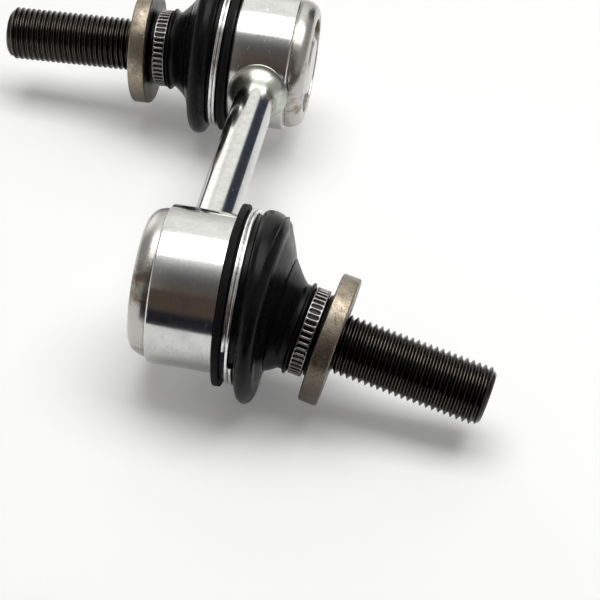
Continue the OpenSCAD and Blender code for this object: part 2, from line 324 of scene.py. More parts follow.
def zincFinish(name, lineScale, lineStretch, scuffStretch):
    look = zinc
    finish = Finish(name, 1.0, look["smooth"], look["bright"])
    place = finish.place()
    lines = finish.noise(finish.stretched(place, lineStretch), lineScale, *look["lineDetail"])
    clouds = finish.noise(place, *look["clouds"])
    mottle = finish.noise(place, *look["mottle"])
    scuffs = finish.noise(finish.stretched(place, scuffStretch), *look["scuffs"])
    scuffs = finish.ramp(scuffs, *look["scuffFrom"])
    rim = finish.rampAt(finish.split(place)["X"], *look["rimAt"])
    dull = finish.plus(finish.ramp(clouds, *look["cloudDull"]), finish.ramp(mottle, *look["mottleDull"]))
    dull = finish.math("MINIMUM", finish.plus(dull, scuffs, look["scuffDull"]), 1.0)
    plate = finish.blend(dull, look["bright"], look["dull"])
    stainPlace = finish.stretched(place, look["stainStretch"], look["stainShift"])
    stains = finish.ramp(finish.noise(stainPlace, *look["stains"]), *look["stainFrom"])
    rolled = finish.blend(stains, look["rim"], look["stain"])
    finish.paint(rim, plate, rolled)
    rough = finish.ramp(lines, *look["lineRough"], look["smooth"], look["rough"])
    rough = finish.plus(rough, finish.ramp(clouds, *look["cloudRough"]))
    rough = finish.plus(rough, rim, look["rimRough"])
    finish.give("Roughness", finish.plus(rough, scuffs, look["scuffRough"]))
    finish.bump(finish.plus(lines, scuffs, -look["scuffDepth"]), *look["bump"])
    return finish.material


# Weld fillet under the plate: duller, with a faint yellow green cast and a rippled skin
weldLook = {
    "pale": (0.66, 0.68, 0.62), "dark": (0.40, 0.42, 0.37), "rough": 0.30,
    "clouds": (420.0, 5.0, 0.62), "cloudTone": (0.35, 0.7), "cloudRough": (0.3, 0.7, 0.22, 0.42),
    "ripples": (1300.0, 4.0, 0.6), "bump": (0.00006, 0.5),
}


def weldFinish():
    look = weldLook
    finish = Finish("platedWeld", 1.0, look["rough"], look["pale"])
    place = finish.place()
    clouds = finish.noise(place, *look["clouds"])
    finish.paint(finish.ramp(clouds, *look["cloudTone"]), look["pale"], look["dark"])
    finish.give("Roughness", finish.ramp(clouds, *look["cloudRough"]))
    finish.bump(finish.noise(place, *look["ripples"]), *look["bump"])
    return finish.material


# Stamped cover: grey plate with faint rings from the press
coverLook = {
    "pale": (0.70, 0.70, 0.68), "dark": (0.50, 0.50, 0.49), "rough": 0.3,
    "clouds": (300.0, 5.0, 0.6), "cloudTone": (0.35, 0.7),
    "rings": (3800.0, 3.0, 0.5), "ringRough": (0.3, 0.7, 0.22, 0.36), "bump": (0.00002, 0.4),
}


def coverFinish():
    look = coverLook
    finish = Finish("stampedCover", 1.0, look["rough"], look["pale"])
    place = finish.place()
    clouds = finish.noise(place, *look["clouds"])
    outwards = finish.node("ShaderNodeCombineXYZ", X=finish.axisRadius(place)).outputs["Vector"]
    rings = finish.noise(outwards, *look["rings"])
    finish.paint(finish.ramp(clouds, *look["cloudTone"]), look["pale"], look["dark"])
    finish.give("Roughness", finish.ramp(rings, *look["ringRough"]))
    finish.bump(finish.plus(rings, clouds), *look["bump"])
    return finish.material


# Moulded rubber: near black, satin, with faint streaks that run round the mould, and a matt lip
rubberLook = {
    "deep": (0.003, 0.003, 0.0033), "worn": (0.008, 0.008, 0.0084), "satin": 0.20, "matt": 0.37,
    "shine": 0.12, "lipAt": (9.0, 8.8), "lipRough": 0.35, "bump": (0.00003, 0.35),
    "streaks": (2600.0, 3.0, 0.6), "streakStretch": (1.0, 0.06, 0.06), "streakTone": (0.42, 0.75),
    "streakRough": (0.4, 0.7, -0.05, 0.06), "streakDepth": 1.4,
    "patches": (170.0, 4.0, 0.6), "patchRough": (0.35, 0.65), "grain": (5200.0, 2.0, 0.5),
}


def rubberFinish():
    look = rubberLook
    finish = Finish("bootRubber", 0.0, look["satin"], look["deep"])
    finish.give("Specular_IOR_Level", look["shine"])
    place = finish.place()
    streaks = finish.noise(finish.stretched(place, look["streakStretch"]), *look["streaks"])
    patches = finish.noise(place, *look["patches"])
    grain = finish.noise(place, *look["grain"])
    finish.paint(finish.ramp(streaks, *look["streakTone"]), look["deep"], look["worn"])
    rough = finish.ramp(patches, *look["patchRough"], look["satin"], look["matt"])
    rough = finish.plus(rough, finish.ramp(streaks, *look["streakRough"]))
    lip = finish.rampAt(finish.split(place)["X"], *look["lipAt"])
    finish.give("Roughness", finish.plus(rough, lip, look["lipRough"]))
    finish.bump(finish.plus(grain, streaks, look["streakDepth"]), *look["bump"])
    return finish.material


# Spring wire: bright steel, with drawn lines along it
wireLook = {
    "bright": (0.86, 0.86, 0.85), "dull": (0.62, 0.62, 0.61), "rough": 0.2,
    "lines": (9000.0, 2.0, 0.5), "lineStretch": (1.0, 0.05, 0.05), "lineRough": (0.3, 0.7, 0.12, 0.24),
    "patches": (700.0, 3.0, 0.5), "patchTone": (0.45, 0.7), "bump": (0.00001, 0.4),
}


def wireFinish():
    look = wireLook
    finish = Finish("springWire", 1.0, look["rough"], look["bright"])
    place = finish.place()
    lines = finish.noise(finish.stretched(place, look["lineStretch"]), *look["lines"])
    patches = finish.noise(place, *look["patches"])
    finish.paint(finish.ramp(patches, *look["patchTone"]), look["bright"], look["dull"])
    finish.give("Roughness", finish.ramp(lines, *look["lineRough"]))
    finish.bump(lines, *look["bump"])
    return finish.material


# Pressed ring: bright on the lands, darker down in the slots
ringLook = {
    "land": (0.24, 0.236, 0.228), "slot": (0.020, 0.019, 0.018), "rough": 0.28, "slotAt": (8.66, 8.50),
    "patches": (1600.0, 4.0, 0.6), "patchShare": (0.5, 0.8, 0.0, 0.45), "patchRough": (0.3, 0.7, 0.2, 0.4),
    "bump": (0.00002, 0.5),
}


def ringFinish():
    look = ringLook
    finish = Finish("pressedRing", 1.0, look["rough"], look["land"])
    place = finish.place()
    patches = finish.noise(place, *look["patches"])
    # darker by depth, down in the slots
    low = finish.rampAt(finish.axisRadius(place), *look["slotAt"])
    share = finish.plus(low, finish.ramp(patches, *look["patchShare"]))
    finish.paint(finish.math("MINIMUM", share, 1.0), look["land"], look["slot"])
    finish.give("Roughness", finish.ramp(patches, *look["patchRough"]))
    finish.bump(patches, *look["bump"])
    return finish.material


# Forged flange: bare steel, browned and pitted on its rim, darkened below as painted shade, black on the
# shank and the faces, partly black oxide and partly painted shade
flangeLook = {
    "tan": (0.37, 0.315, 0.235), "brown": (0.17, 0.135, 0.10), "grey": (0.28, 0.25, 0.215),
    "paintedShadeBelow": (0.075, 0.060, 0.046), "pit": (0.05, 0.042, 0.033), "black": (0.012, 0.011, 0.010),
    "rough": 0.36, "unevenRough": (0.75, 1.25, 0.24, 0.44), "rimAt": (11.6, 12.7),
    "clouds": (330.0, 6.0, 0.70), "cloudTone": (0.40, 0.64),
    "mottle": (2300.0, 5.0, 0.72), "mottleStretch": (1.0, 0.6, 0.6), "mottleTone": (0.50, 0.58),
    "paintedShadeAt": (-1.0, -9.0), "paintedShadeShare": 0.85, "paintedShadeClouds": (0.3, 0.7), "paintedShadeEdge": 2.5,
    "pits": (3900.0, 3.0, 0.65), "pitFrom": (0.56, 0.68), "pitShare": 0.9, "pitDepth": 0.5,
    "bump": (0.00009, 0.5),
}


def flangeFinish():
    look = flangeLook
    finish = Finish("brownedFlange", 1.0, look["rough"], look["tan"])
    place = finish.place()
    clouds = finish.noise(place, *look["clouds"])
    mottle = finish.noise(finish.stretched(place, look["mottleStretch"]), *look["mottle"])
    pits = finish.ramp(finish.noise(place, *look["pits"]), *look["pitFrom"])
    # below the rim the ball, shank, shoulder and flange faces turn black: partly black oxide, and by the
    # ring partly painted shade
    rim = finish.rampAt(finish.axisRadius(place), *look["rimAt"])
    warm = finish.blend(finish.ramp(clouds, *look["cloudTone"]), look["tan"], look["brown"])
    warm = finish.blend(finish.ramp(mottle, *look["mottleTone"]), warm, look["grey"])
    # painted shade: the lower side of the flange, towards local -Z, is darkened with a ragged edge from the
    # clouds
    ragged = look["paintedShadeEdge"] * mm
    shadeHeight = finish.ramp(clouds, *look["paintedShadeClouds"], -ragged, ragged)
    shadeHeight = finish.plus(finish.split(place)["Z"], shadeHeight)
    paintedShadeBelow = finish.rampAt(shadeHeight, *look["paintedShadeAt"], 0.0, look["paintedShadeShare"])
    warm = finish.blend(paintedShadeBelow, warm, look["paintedShadeBelow"])
    warm = finish.blend(finish.times(pits, look["pitShare"]), warm, look["pit"])
    finish.paint(rim, look["black"], warm)
    finish.give("Roughness", finish.ramp(finish.plus(clouds, mottle), *look["unevenRough"]))
    finish.bump(finish.plus(mottle, pits, -look["pitDepth"]), *look["bump"])
    return finish.material


# Rolled thread: black oxide, lighter on the crests, partly rubbed to brown steel and partly painted glint,
# and lighter down in the roots as painted highlight
threadLook = {
    "black": (0.014, 0.013, 0.012), "crest": (0.092, 0.085, 0.070), "rough": 0.32,
    "crestAt": (5.72, 6.0), "rootGlintAt": (5.42, 5.30), "rootGlintShare": 0.8,
    "patches": (420.0, 4.0, 0.65), "patchShare": (0.3, 0.65, 0.35, 1.0),
    "grain": (3800.0, 3.0, 0.6), "grainRough": (0.3, 0.7, 0.15, 0.30), "bump": (0.00002, 0.5),
}


def threadFinish():
    look = threadLook
    finish = Finish("blackThread", 1.0, look["rough"], look["black"])
    place = finish.place()
    radius = finish.axisRadius(place)
    patches = finish.noise(place, *look["patches"])
    grain = finish.noise(place, *look["grain"])
    crest = finish.rampAt(radius, *look["crestAt"])
    # painted highlight: the roots are lightened to give a second glint line per pitch; the crests are
    # lighter partly as rubbed steel and partly as painted glint
    rootGlint = finish.rampAt(radius, *look["rootGlintAt"], 0.0, look["rootGlintShare"])
    wornCrestsAndGlintRoots = finish.math("MAXIMUM", crest, rootGlint)
    share = finish.times(wornCrestsAndGlintRoots, finish.ramp(patches, *look["patchShare"]))
    finish.paint(share, look["black"], look["crest"])
    finish.give("Roughness", finish.ramp(grain, *look["grainRough"]))
    finish.bump(grain, *look["bump"])
    return finish.material


# Moulded seats, inside the housings
seatLook = {
    "pale": (0.80, 0.76, 0.64), "dark": (0.70, 0.65, 0.52), "rough": 0.42,
    "clouds": (260.0, 4.0, 0.6), "cloudTone": (0.35, 0.7), "cloudRough": (0.3, 0.7, 0.36, 0.5),
    "grain": (4200.0, 2.0, 0.5), "bump": (0.00002, 0.3),
}


def seatFinish():
    look = seatLook
    finish = Finish("seatPlastic", 0.0, look["rough"], look["pale"])
    place = finish.world()
    clouds = finish.noise(place, *look["clouds"])
    finish.paint(finish.ramp(clouds, *look["cloudTone"]), look["pale"], look["dark"])
    finish.give("Roughness", finish.ramp(clouds, *look["cloudRough"]))
    finish.bump(finish.noise(place, *look["grain"]), *look["bump"])
    return finish.material


# The lines run round the housing, and along the rod
housingZinc = zincFinish("turnedZinc", 9000.0, lineStretch=(1.0, 0.02, 0.02), scuffStretch=(1.0, 0.22, 0.22))
rodZinc = zincFinish("drawnZinc", 5200.0, lineStretch=(1.0, 0.015, 1.0), scuffStretch=(1.0, 0.2, 1.0))
platedWeld = weldFinish()
stampedCover = coverFinish()
bootRubber = rubberFinish()
springWire = wireFinish()
pressedRing = ringFinish()
brownedFlange = flangeFinish()
blackThread = threadFinish()
seatPlastic = seatFinish()
print("finishes made:", len(bpy.data.materials))


# Housing: rolled rim, stepped body, nose for the boot, conical mouth and seat bore
housing = {
    "radius": 15.7, "back": -9.9, "step": -6.0, "front": 7.3, "rimRadius": 14.7, "rimLip": 10.8,
    "roll": (3.5, 2.6), "rollSteps": 15, "stepNeck": 0.1, "stepNeckDepth": 0.12,
    "noseRadius": 14.9, "noseEnd": 12.0, "groove": (9.05, 9.65, 10.7, 11.3), "grooveRadius": 14.3,
    "mouthRadius": 13.1, "seatRadius": 12.0, "seatFront": 6.5, "mouthAtSeat": 9.05, "coverBack": -8.9,
    "chamfer": 0.28, "round": 0.12, "sides": 144,
}


def housingOutline():
    h = housing
    along, inwards = h["roll"]
    rolled = []
    for i in range(h["rollSteps"] + 1):
        a = quarterTurn * i / h["rollSteps"]
        rolled.append((h["back"] + along * (1 - math.cos(a)), h["rimRadius"] - inwards * (1 - math.sin(a))))
    cut = h["chamfer"]
    neck = h["stepNeck"]
    body = [
        (h["step"] - neck, h["rimRadius"] - h["stepNeckDepth"]), (h["step"], h["rimRadius"] - neck),
        (h["step"], h["radius"] - cut), (h["step"] + cut, h["radius"]),
        (h["front"] - cut, h["radius"]), (h["front"], h["radius"] - cut), (h["front"], h["noseRadius"]),
    ]
    grooveRadii = (h["noseRadius"], h["grooveRadius"], h["grooveRadius"], h["noseRadius"])
    nose = list(zip(h["groove"], grooveRadii))
    nose += [(h["noseEnd"], h["noseRadius"]), (h["noseEnd"], h["mouthRadius"])]
    inside = [
        (h["seatFront"], h["mouthAtSeat"]), (h["seatFront"], h["seatRadius"]),
        (h["coverBack"], h["seatRadius"]), (h["coverBack"], h["rimLip"]), (h["back"], h["rimLip"]),
    ]
    return [(h["back"], h["rimLip"])] + rolled + body + nose + inside


housingModel = turnedPiece("housingModel", housingOutline(), housing["sides"])
closeUp()
roundCorners(housingModel, housing["round"], segments=2)
keepPlace(housingModel)
wear(housingModel, housingZinc)
for side in ends:
    piece = placedCopy(housingModel, side + "Housing", endPlace(side))
    ride(piece, "link", "zinc", side + "_housing")
dropModel(housingModel)
print("housings turned")


# End cover: stamped plate under the rolled rim, dished clear of the ball, with a coined ring and a dimple
cover = {
    "back": -8.9, "front": -7.4, "lift": 0.02, "dish": 1.2, "dishRadius": 7.2, "radius": 11.95,
    "coin": (9.2, 9.8), "coinDepth": 0.2, "dimple": (0.6, 1.6), "dimpleDepth": 0.25,
    "round": 0.3, "sides": 96,
}


def coverOutline():
    c = cover
    inner = c["dishRadius"] - c["dish"]
    dishFront = c["front"] - c["dish"]
    dishBack = c["back"] - c["dish"]
    back = c["back"] + c["lift"]
    coined = back + c["coinDepth"]
    low, high = c["coin"]
    centre, dimple = c["dimple"]
    return [
        (dishFront, centre), (dishFront, inner), (c["front"], c["dishRadius"]), (c["front"], c["radius"]),
        (back, c["radius"]), (back, high + c["coinDepth"]), (coined, high), (coined, low),
        (back, low - c["coinDepth"]), (back, c["dishRadius"]), (dishBack + c["lift"], inner),
        (dishBack, dimple), (dishBack + c["dimpleDepth"], centre),
    ]


coverModel = turnedPiece("coverModel", coverOutline(), cover["sides"])
closeUp()
roundCorners(coverModel, cover["round"], segments=3, angle=25)
keepPlace(coverModel)
wear(coverModel, stampedCover)
for side in ends:
    piece = placedCopy(coverModel, side + "EndCover", endPlace(side))
    ride(piece, "link", "cover", side + "_end_cover")
dropModel(coverModel)
print("end covers stamped")


# Rod: drawn bar between the two housings, its ends sunk into the welds
rod = {"radius": 4.6, "sink": 1.0, "collarAt": 3.0, "collar": 0.03, "round": 0.2, "sides": 96}


def rodPiece():
    nearAt = endPlace("near").translation
    length = (endPlace("far").translation - nearAt).length / mm
    start = housing["radius"] - rod["sink"]
    radius = rod["radius"]
    inset = rod["collarAt"]
    firstEnd = [(start, radius), (start + inset, radius + rod["collar"]), (start + 2 * inset, radius)]
    lastEnd = [(length - place, width) for place, width in reversed(firstEnd)]
    piece = turnedPiece("linkRod", firstEnd + [(length / 2, radius)] + lastEnd, rod["sides"])
    closeUp()
    roundCorners(piece, rod["round"], segments=2, angle=40)
    settle(piece, Matrix.Translation(nearAt) @ Matrix.Rotation(quarterTurn, 4, "Z"))
    keepPlace(piece)
    wear(piece, rodZinc)
    ride(piece, "link", "zinc", "link_rod")


rodPiece()
print("rod drawn")


# Weld: a flared fillet from the rod onto the round of the housing, with an uneven toe
weld = {
    "leg": 2.2, "length": 3.4, "lift": 0.02, "steps": 9, "toe": 0.35, "toeFlare": 0.1, "sink": 0.12,
    "ripple": 0.05, "toeCalm": 0.5, "waves": ((17, 0.0, 0.5), (7, 1.3, 1.0), (29, 0.4, 0.6)), "sides": 72,
}


def weldPiece():
    outer = rod["radius"] + weld["leg"]
    top = housing["radius"] + weld["length"]
    low = rod["radius"] + weld["lift"]
    outline = []
    for i in range(weld["steps"] + 1):
        a = quarterTurn * i / weld["steps"]
        outline.append((top - weld["length"] * math.sin(a), low + weld["leg"] * (1 - math.cos(a))))
    outline.append((housing["radius"] - weld["toe"], outer + weld["toeFlare"]))
    piece = turnedPiece("weldModel", outline, weld["sides"])
    settle(piece, Matrix.Rotation(quarterTurn, 4, "Z"))
    # the fillet's rings sag towards the round of the housing, the toe ring all the way
    reach = weld["length"] + weld["toe"]
    for vertex in piece.data.vertices:
        spot = vertex.co / mm
        wrapped = math.sqrt(max(0.0, housing["radius"] ** 2 - spot.z ** 2))
        share = min(1.0, (top - spot.y) / reach)
        ripple = weld["ripple"] * waveSum(math.atan2(spot.z, spot.x), weld["waves"])
        grow = 1 + ripple * share * (1 - weld["toeCalm"] * share) / outer
        drop = (housing["radius"] - wrapped) * share ** 2
        vertex.co = Vector((spot.x * grow, spot.y - drop, spot.z * grow)) * mm
    bpy.ops.object.mode_set(mode="EDIT")
    faceOutwards()
    solid = piece.modifiers.new("weldThickness", "SOLIDIFY")
    solid.thickness = weld["sink"] * mm
    solid.offset = -1
    bpy.ops.object.modifier_apply(modifier=solid.name)
    return piece


weldModel = weldPiece()
keepPlace(weldModel, angle=50)
wear(weldModel, platedWeld)
for side in ends:
    piece = placedCopy(weldModel, side + "Weld", endPlace(side))
    ride(piece, "link", "weld", side + "_weld")
dropModel(weldModel)
print("welds laid")


# Dust boot: bead lip, clip groove, rounded roll with its parting fin, folded flank and neck with its lip
boot = {
    "bore": 15.05, "ribBore": 14.45, "rib": (9.05, 11.3), "ribSlope": 0.6, "groove": 16.35, "wall": 1.2,
    "lipStart": 7.45, "lipEnd": 8.75, "lip": 17.95, "lipRound": 0.14, "roundShare": 0.3,
    "rollStart": 11.623, "roll": 4.4, "rollRise": 2.82, "rollSteps": 15, "innerStep": 20,
    "foldRadius": 11.7, "foldShare": 0.37, "foldStep": 0.12, "foldBack": (0.05, 0.03), "foldFront": 0.06,
    "flankSteps": (8, 10), "hollow": 0.17,
    "neckStart": 21.1, "neckRadius": 8.65, "neckBore": 7.45, "neckLip": (21.9, 23.0), "neckLipRise": 0.7,
    "neckLipBack": ((0.3, 0.12), (0.5, 0.0)), "neckLipFront": ((0.5, 0.0), (0.3, 0.16)),
    "neckEnd": (0.12, 0.1), "pushPerDegree": 0.12, "followInset": 0.675, "lateStart": 0.8,
    "turnsFrom": 13.0, "turnsTo": 18.6,
    "fin": {"top": 125, "bottom": 55, "height": 0.08, "half": 2.0, "crown": 0.3, "topTimes": 4.0},
    "onRing": 0.002, "sides": 160,
}
rollTurn = 180.0


# A point of the roll by its turn from the clip's side, in degrees, lifted square to the skin
def rollPoint(turn, lift=0.0, inset=0.0):
    a = math.radians(turn)
    halfLength = boot["roll"] / 2 - inset
    rise = boot["rollRise"] - inset
    square = Vector((-math.cos(a) / halfLength, math.sin(a) / rise)).normalized() * lift
    middle = boot["rollStart"] + boot["roll"] / 2
    return middle - halfLength * math.cos(a) + square.x, boot["groove"] + rise * math.sin(a) + square.y


def finTurn(around):
    return mix(boot["fin"]["top"], boot["fin"]["bottom"], (1 - math.cos(around)) / 2)


# Turns and lifts of the roll's rings, with the fin half way along
def rollRings():
    steps = boot["rollSteps"]
    half = boot["fin"]["half"]
    crown = boot["fin"]["crown"] * half
    height = boot["fin"]["height"]
    middle = finTurn(quarterTurn)
    before = [((middle - half) * i / steps, 0.0) for i in range(steps + 1)]
    fin = [(middle - crown, height), (middle + crown, height)]
    after = [(mix(middle + half, rollTurn, i / steps), 0.0) for i in range(steps + 1)]
    return before + fin + after


def bootLip():
    b = boot
    full = b["lipRound"]
    part = b["roundShare"] * full
    return [
        (b["lipStart"], b["bore"]), (b["lipStart"], b["lip"] - full),
        (b["lipStart"] + part, b["lip"] - part), (b["lipStart"] + full, b["lip"]),
        (b["lipEnd"] - full, b["lip"]), (b["lipEnd"] - part, b["lip"] - part),
        (b["lipEnd"], b["lip"] - full), (b["lipEnd"], b["groove"]),
    ]


def bootFlank():
    b = boot
    rollEnd = b["rollStart"] + b["roll"]
    foldAt = mix(rollEnd, b["neckStart"], b["foldShare"])
    toFold, toNeck = b["flankSteps"]
    flank = []
    for i in range(1, toFold):
        t = i / toFold
        flank.append((mix(rollEnd, foldAt, t), mix(b["groove"], b["foldRadius"], t)))
    back, down = b["foldBack"]
    flank.append((foldAt - back, b["foldRadius"] - down))
    flank.append((foldAt + b["foldFront"], b["foldRadius"] + b["foldStep"]))
    for i in range(1, toNeck + 1):
        t = i / toNeck
        radius = mix(b["foldRadius"], b["neckRadius"], t) - b["hollow"] * arch(t)
        flank.append((mix(foldAt, b["neckStart"], t), radius + b["foldStep"] * (1 - t) ** 2))
    return flank


def insideOf(flank):
    inside = []
    for before, point, after in zip(flank, flank[2:], flank[4:]):
        along, across = after[0] - before[0], after[1] - before[1]
        wall = boot["wall"] / math.hypot(along, across)
        inside.append((point[0] + wall * across, point[1] - wall * along))
    return inside


def bootNeck():
    b = boot
    start, end = b["neckLip"]
    top = b["neckRadius"] + b["neckLipRise"]
    inset, step = b["neckEnd"]
    neck = [(start, b["neckRadius"])]
    neck += [(start + along, top - down) for along, down in b["neckLipBack"]]
    neck += [(end - along, top - down) for along, down in b["neckLipFront"]]
    neck += [(end - inset, b["neckRadius"] + step), (end, b["neckRadius"] - step)]
    return neck + [(end, b["neckBore"]), (b["neckStart"], b["neckBore"])]


# The rib inside the boot, which sits in the groove of the housing's nose
def bootRib():
    b = boot
    start, end = b["rib"]
    slope = b["ribSlope"]
    return [(b["rollStart"], b["bore"]), (end, b["bore"]), (end - slope, b["ribBore"]),
            (start + slope, b["ribBore"]), (start, b["bore"])]


def bootOutline():
    lip = bootLip()
    roll = [rollPoint(turn, lift) for turn, lift in rollRings()]
    flank = bootFlank()
    inner = [rollPoint(turn, inset=boot["wall"]) for turn in range(0, int(rollTurn) + 1, boot["innerStep"])]
    wayBack = list(reversed(inner + insideOf(flank)))
    return lip + roll + flank + bootNeck() + wayBack + bootRib() + lip[:1]


# Where a ring of the roll goes when the fin moves from the middle to its own turn
def shiftedTurn(turn, middle, here):
    if turn < middle:
        return turn * here / middle
    return mix(here, rollTurn, (turn - middle) / (rollTurn - middle))


# The fin lies behind the roll's crest on the stretched side, where it is highest, and before it opposite
def layFin(piece):
    middle = finTurn(quarterTurn)
    near = boot["onRing"]
    rings = [(turn, lift, *rollPoint(turn, lift)) for turn, lift in rollRings()]
    for vertex in piece.data.vertices:
        place = vertex.co.x / mm
        radius = math.hypot(vertex.co.y, vertex.co.z) / mm
        for turn, lift, ringPlace, ringRadius in rings:
            if abs(place - ringPlace) < near and abs(radius - ringRadius) < near:
                around = math.atan2(vertex.co.y, vertex.co.z)
                taller = mix(1.0, boot["fin"]["topTimes"], max(0.0, math.cos(around)))
                place, radius = rollPoint(shiftedTurn(turn, middle, finTurn(around)), lift * taller)
                vertex.co = Vector((place, radius * math.sin(around), radius * math.cos(around))) * mm
                break


def rollShare(place):
    return max(0.0, min(1.0, (place - boot["rollStart"]) / boot["roll"]))


# How far a point turns with the stud: the stretched side from the clip on, the squeezed side later
def follow(place, around):
    start = boot["rollStart"] + boot["roll"] * boot["lateStart"] * (1 - math.cos(around)) / 2
    return ease((place - start) / (boot["neckStart"] - boot["followInset"] - start))


# Each point of the straight boot is pushed down and then turned about the ball, as the stud leans
def bendBoot(piece, lean):
    for vertex in piece.data.vertices:
        place = vertex.co.x / mm
        push = math.degrees(lean) * boot["pushPerDegree"] * math.sqrt(arch(rollShare(place)))
        around = math.atan2(vertex.co.y, vertex.co.z)
        turn = Matrix.Rotation(lean * follow(place, around), 3, "Y")
        vertex.co = turn @ (vertex.co - Vector((0, 0, push * mm)))


bootModel = turnedPiece("bootModel", bootOutline(), boot["sides"])
closeUp()
layFin(bootModel)
keepPlace(bootModel, angle=42)
wear(bootModel, bootRubber)
for side in ends:
    piece = placedCopy(bootModel, side + "DustBoot", Matrix.Identity(4))
    bendBoot(piece, leanOf(side))
    settle(piece, leanPlace(side))
    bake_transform(piece)
    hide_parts(side + "_dust_boot")
dropModel(bootModel)
print("boots moulded")


# Clip: round spring wire in just under two turns, its cut ends lightly rounded
clip = {
    "wire": 0.425, "radius": 16.925, "start": 9.325, "turns": 1.958, "pitch": 0.88, "round": 0.12,
    "steps": 260, "around": 14,
}


def clipPiece():
    clearSelection()
    at = (clip["start"] * mm, -clip["radius"] * mm, 0)
    bpy.ops.mesh.primitive_circle_add(vertices=clip["around"], radius=clip["wire"] * mm, location=at)
    piece = bpy.context.object
    piece.name = "clipModel"
    applyPlace()
    wind = piece.modifiers.new("wind", "SCREW")
    wind.axis = "X"
    wind.angle = -2 * math.pi * clip["turns"]
    wind.screw_offset = clip["turns"] * clip["pitch"] * mm
    wind.steps = clip["steps"]
    wind.render_steps = clip["steps"]
    wind.use_normal_calculate = True
    bpy.ops.object.modifier_apply(modifier=wind.name)
    closeUp()
    roundCorners(piece, clip["round"], segments=3, angle=60)
    return piece


clipModel = clipPiece()
keepPlace(clipModel, angle=60)
wear(clipModel, springWire)
for side in ends:
    piece = placedCopy(clipModel, side + "BootClip", endPlace(side))
    ride(piece, "link", "wire", side + "_boot_clip")
dropModel(clipModel)
print("clips wound")


# Knurled ring: one slot is pressed into a short land, and the land is copied round the shank
knurl = {
    "radius": 8.8, "bore": 7.35, "start": 23.15, "width": 2.7, "slots": 45, "edge": 0.13, "land": 0.06,
    "side": 0.07, "slotRound": 0.48, "roundSteps": 5, "onEdge": 0.0001, "merge": 0.002,
    "walls": ((0.10, 0.03), (0.07, 0.09), (0.04, 0.16), (0.05, 0.06)),
}


# Leaves selected the face in the middle of the land, which has the most corners
def slotFace(piece):
    shape = bmesh.from_edit_mesh(piece.data)
    bpy.ops.mesh.select_all(action="DESELECT")
    bpy.ops.mesh.select_mode(type="FACE")
    inner = max(shape.faces, key=lambda face: len(face.verts))
    inner.select = True
    shape.select_flush_mode()
    bmesh.update_edit_mesh(piece.data)


# Draws the picked edge out along X and down, and narrows it to its share of the ring
def drawEdge(along, down, narrow):
    bpy.ops.mesh.extrude_edges_move(TRANSFORM_OT_translate={"value": (along * mm, 0, down * mm)})
    bpy.ops.transform.resize(value=(1, narrow, 1), center_override=(0, 0, 0))


def knurlPiece():
    k = knurl
    clearSelection()
    half = k["radius"] * math.tan(math.pi / k["slots"])
    middle = k["start"] + k["width"] / 2
    at = (middle * mm, 0, k["radius"] * mm)
    bpy.ops.mesh.primitive_plane_add(size=1, location=at)
    piece = bpy.context.object
    piece.name = "knurlModel"
    piece.scale = ((k["width"] - 2 * k["side"]) * mm, 2 * half * mm, 1)
    applyPlace()
    bpy.ops.object.mode_set(mode="EDIT")
    bpy.ops.mesh.select_all(action="SELECT")
    bpy.ops.mesh.delete(type="ONLY_FACE")
    # the slot's face with its round ends, then the land round it
    bpy.ops.mesh.primitive_plane_add(size=mm, location=at)
    length = k["width"] - 2 * k["edge"]
    across = 2 * (half - k["land"])
    bpy.ops.transform.resize(value=(length, across, 1), center_override=at)
    slotRound = k["slotRound"] * across * mm
    bpy.ops.mesh.bevel(offset=slotRound, segments=k["roundSteps"], affect="VERTICES", clamp_overlap=True)
    bpy.ops.mesh.select_all(action="SELECT")
    bpy.ops.mesh.fill(use_beauty=True)
    slotFace(piece)
    for inwards, down in k["walls"]:
        bpy.ops.mesh.inset(thickness=inwards * mm, depth=-down * mm, use_even_offset=True)
    # the ring's sides and bore
    low = k["radius"] - k["side"]
    for sign in (-1, 1):
        edgeAt = middle + sign * (k["width"] / 2 - k["side"])
        selectWhere(piece, lambda spot: abs(spot.x / mm - edgeAt) < k["onEdge"])
        bpy.ops.mesh.select_mode(type="EDGE")
        drawEdge(sign * k["side"], low - k["radius"], low / k["radius"])
        drawEdge(0, k["bore"] - low, k["bore"] / low)
        bpy.ops.mesh.select_mode(type="VERT")
    selectWhere(piece, lambda spot: abs(spot.z / mm - k["bore"]) < k["onEdge"])
    bpy.ops.mesh.edge_face_add()
    bpy.ops.mesh.select_all(action="SELECT")
    copies = k["slots"] - 1
    around = 2 * math.pi * copies / k["slots"]
    bpy.ops.mesh.spin(steps=copies, dupli=True, angle=around, center=(0, 0, 0), axis=(1, 0, 0))
    mergeDoubles(k["merge"])
    faceOutwards()
    return piece


knurlModel = knurlPiece()
keepPlace(knurlModel, angle=38)
wear(knurlModel, pressedRing)
for side in ends:
    piece = placedCopy(knurlModel, side + "NeckRing", studPlace(side))
    ride(piece, side + "_ring", "ring", side + "_neck_ring")
dropModel(knurlModel)
print("knurled rings pressed")


# Ball, neck, shank and flange: one forging, its flange a little uneven
stud = {
    "ball": 8.5, "ballSteps": 24, "ballPole": 0.12, "neck": 4.6, "neckEnd": 14.0,
    "shank": 7.3, "shankStart": 18.4,
    "shoulder": 8.3, "shoulderStart": 25.98, "shoulderEdge": (0.12, 0.1), "shoulderFoot": (0.3, 0.6),
    "flange": 13.1, "flangeStart": 26.85, "flangeEnd": 30.65, "edge": 0.4, "edgeShares": (0.45, 0.12),
    "relief": (7.4, 7.0, 5.0), "reliefDepth": 0.3, "round": 0.16,
    "uneven": 0.05, "unevenRim": 1.2, "waves": ((5, 0.7, 1.0), (11, 2.1, 0.7), (23, 0.0, 0.5)), "sides": 120,
}


